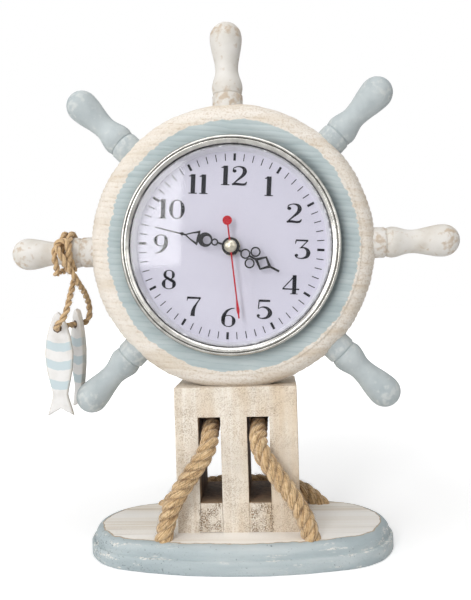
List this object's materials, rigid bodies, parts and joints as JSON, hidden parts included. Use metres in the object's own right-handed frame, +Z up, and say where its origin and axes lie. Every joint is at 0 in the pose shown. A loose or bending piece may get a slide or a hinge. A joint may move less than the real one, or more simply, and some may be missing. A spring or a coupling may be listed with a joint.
{
  "type": "table clock",
  "caption": "Free-standing table clock shaped like a ship's wheel, with a quartz clock insert, turned handles, a windowed stand, rope and a twine charm with wooden fish.",
  "frame": {"origin": "middle of the underside of the base", "axes": "+Z up, -Y towards the viewer of the dial, +X to the right of the viewer"},
  "size_m": [0.2162, 0.076, 0.2551],
  "materials": {
    "painted_blue_wood": "matte paint over grooved wood",
    "cream_wood": "limewashed, rubbed through at the edges",
    "white_wood": "matte white paint, worn",
    "stand_wood": "limewashed",
    "fish_wood": "matte white paint",
    "dowel_wood": "bare",
    "jute_rope": "three-strand rope",
    "jute_twine": "twisted twine",
    "chrome": "polished",
    "zinc_steel": "plain zinc",
    "lens_clear": "clear",
    "black_plastic": "moulded",
    "dial_card": "printed",
    "silver_plastic": "satin silver",
    "rubber": "soft",
    "black_hand": "satin black",
    "red_hand": "satin red",
    "brass": "plain",
    "gear_plastic": "moulded",
    "soft_iron": "stamped",
    "copper_winding": "enamelled wire",
    "board": "resin board",
    "battery_wrap": "plain wrap"
  },
  "bodies": {
    "stand": {"base_plinth": "painted_blue_wood", "base_screws": "zinc_steel", "bezel": "chrome", "bushing": "brass", "circuit_board": "board", "coil": "copper_winding", "contact_negative": "zinc_steel", "contact_positive": "zinc_steel", "dial_plate": "dial_card", "dial_ring": "silver_plastic", "dial_washer": "rubber", "fixing_nut": "black_hand", "fixing_washer": "brass", "grip_band": "rubber", "handle_left": "white_wood", "handle_lower_left": "painted_blue_wood", "handle_lower_right": "painted_blue_wood", "handle_right": "white_wood", "handle_top": "white_wood", "handle_upper_left": "painted_blue_wood", "handle_upper_right": "painted_blue_wood", "insert_cup": "black_plastic", "lens": "lens_clear", "movement_back": "black_plastic", "movement_case": "black_plastic", "post_centre": "stand_wood", "post_left": "stand_wood", "post_right": "stand_wood", "spacer_lower_left": "stand_wood", "spacer_lower_right": "stand_wood", "spacer_upper_left": "stand_wood", "spacer_upper_right": "stand_wood", "stand_rope_back": "jute_rope", "stand_rope_front": "jute_rope", "stator": "soft_iron", "twine_hitch": "jute_twine", "wheel_dowel": "dowel_wood", "wheel_rim": "painted_blue_wood"},
    "second_train": {"second_hand": "red_hand", "second_hand_cap": "brass", "seconds_wheel": "gear_plastic"},
    "third": {"third_wheel": "gear_plastic"},
    "centre": {"centre_wheel": "gear_plastic"},
    "intermediate": {"intermediate_wheel": "gear_plastic"},
    "rotor": {"rotor": "gear_plastic"},
    "minute_train": {"minute_hand": "black_hand", "minute_pipe": "gear_plastic"},
    "motion": {"motion_wheel": "gear_plastic"},
    "hour_train": {"hour_hand": "black_hand", "hour_wheel": "gear_plastic"},
    "setting": {"setting_knob": "black_plastic"},
    "battery": {"battery": "battery_wrap"},
    "charm": {"twine_loop": "jute_twine"},
    "fish_front": {"fish_front": "fish_wood"},
    "fish_back": {"fish_back": "fish_wood"}
  },
  "joints": [
    {"name": "second_hand_turn", "type": "hinge", "parent": "stand", "child": "second_train", "pos_m": [0, -0.004, 0.147], "axis": [0, 1, 0], "continuous": true},
    {"name": "third_wheel_turn", "type": "hinge", "parent": "stand", "child": "third", "pos_m": [-0.00883, -0.0056, 0.1521], "axis": [0, 1, 0], "continuous": true},
    {"name": "centre_wheel_turn", "type": "hinge", "parent": "stand", "child": "centre", "pos_m": [0, -0.0072, 0.147], "axis": [0, 1, 0], "continuous": true},
    {"name": "intermediate_wheel_turn", "type": "hinge", "parent": "stand", "child": "intermediate", "pos_m": [0.00686, -0.002, 0.15276], "axis": [0, 1, 0], "continuous": true},
    {"name": "rotor_turn", "type": "hinge", "parent": "stand", "child": "rotor", "pos_m": [0.0107, -0.001, 0.15941], "axis": [0, 1, 0], "continuous": true},
    {"name": "minute_hand_turn", "type": "hinge", "parent": "stand", "child": "minute_train", "pos_m": [0, -0.0086, 0.147], "axis": [0, 1, 0], "continuous": true},
    {"name": "motion_wheel_turn", "type": "hinge", "parent": "stand", "child": "motion", "pos_m": [-0.00767, -0.0086, 0.14421], "axis": [0, 1, 0], "continuous": true},
    {"name": "hour_hand_turn", "type": "hinge", "parent": "stand", "child": "hour_train", "pos_m": [0, -0.0099, 0.147], "axis": [0, 1, 0], "continuous": true},
    {"name": "setting_knob_turn", "type": "hinge", "parent": "stand", "child": "setting", "pos_m": [-0.01435, 0.006, 0.13953], "axis": [0, 1, 0], "continuous": true},
    {"name": "battery_slide", "type": "slide", "parent": "stand", "child": "battery", "axis": [0, 1, 0], "range_m": [0, 0.025]},
    {"name": "charm_swing", "type": "hinge", "parent": "stand", "child": "charm", "pos_m": [-0.0775, -0.006, 0.147], "axis": [1, 0, 0], "range_deg": [0, 25]},
    {"name": "fish_front_swing", "type": "hinge", "parent": "charm", "child": "fish_front", "pos_m": [-0.0849, -0.012, 0.1105], "axis": [0, 1, 0], "range_deg": [-1, 15]},
    {"name": "fish_back_swing", "type": "hinge", "parent": "charm", "child": "fish_back", "pos_m": [-0.0806, 0.0055, 0.1114], "axis": [0.7193, 0.6947, 0], "range_deg": [0, 15]}
  ],
  "couplings": [
    {"joint": "third_wheel_turn", "follows": "second_hand_turn", "ratio": -0.13333},
    {"joint": "centre_wheel_turn", "follows": "second_hand_turn", "ratio": 0.016667},
    {"joint": "intermediate_wheel_turn", "follows": "second_hand_turn", "ratio": -6},
    {"joint": "rotor_turn", "follows": "second_hand_turn", "ratio": 30},
    {"joint": "motion_wheel_turn", "follows": "minute_hand_turn", "ratio": -0.33333},
    {"joint": "hour_hand_turn", "follows": "minute_hand_turn", "ratio": 0.083333},
    {"joint": "setting_knob_turn", "follows": "minute_hand_turn", "ratio": 1}
  ]
}
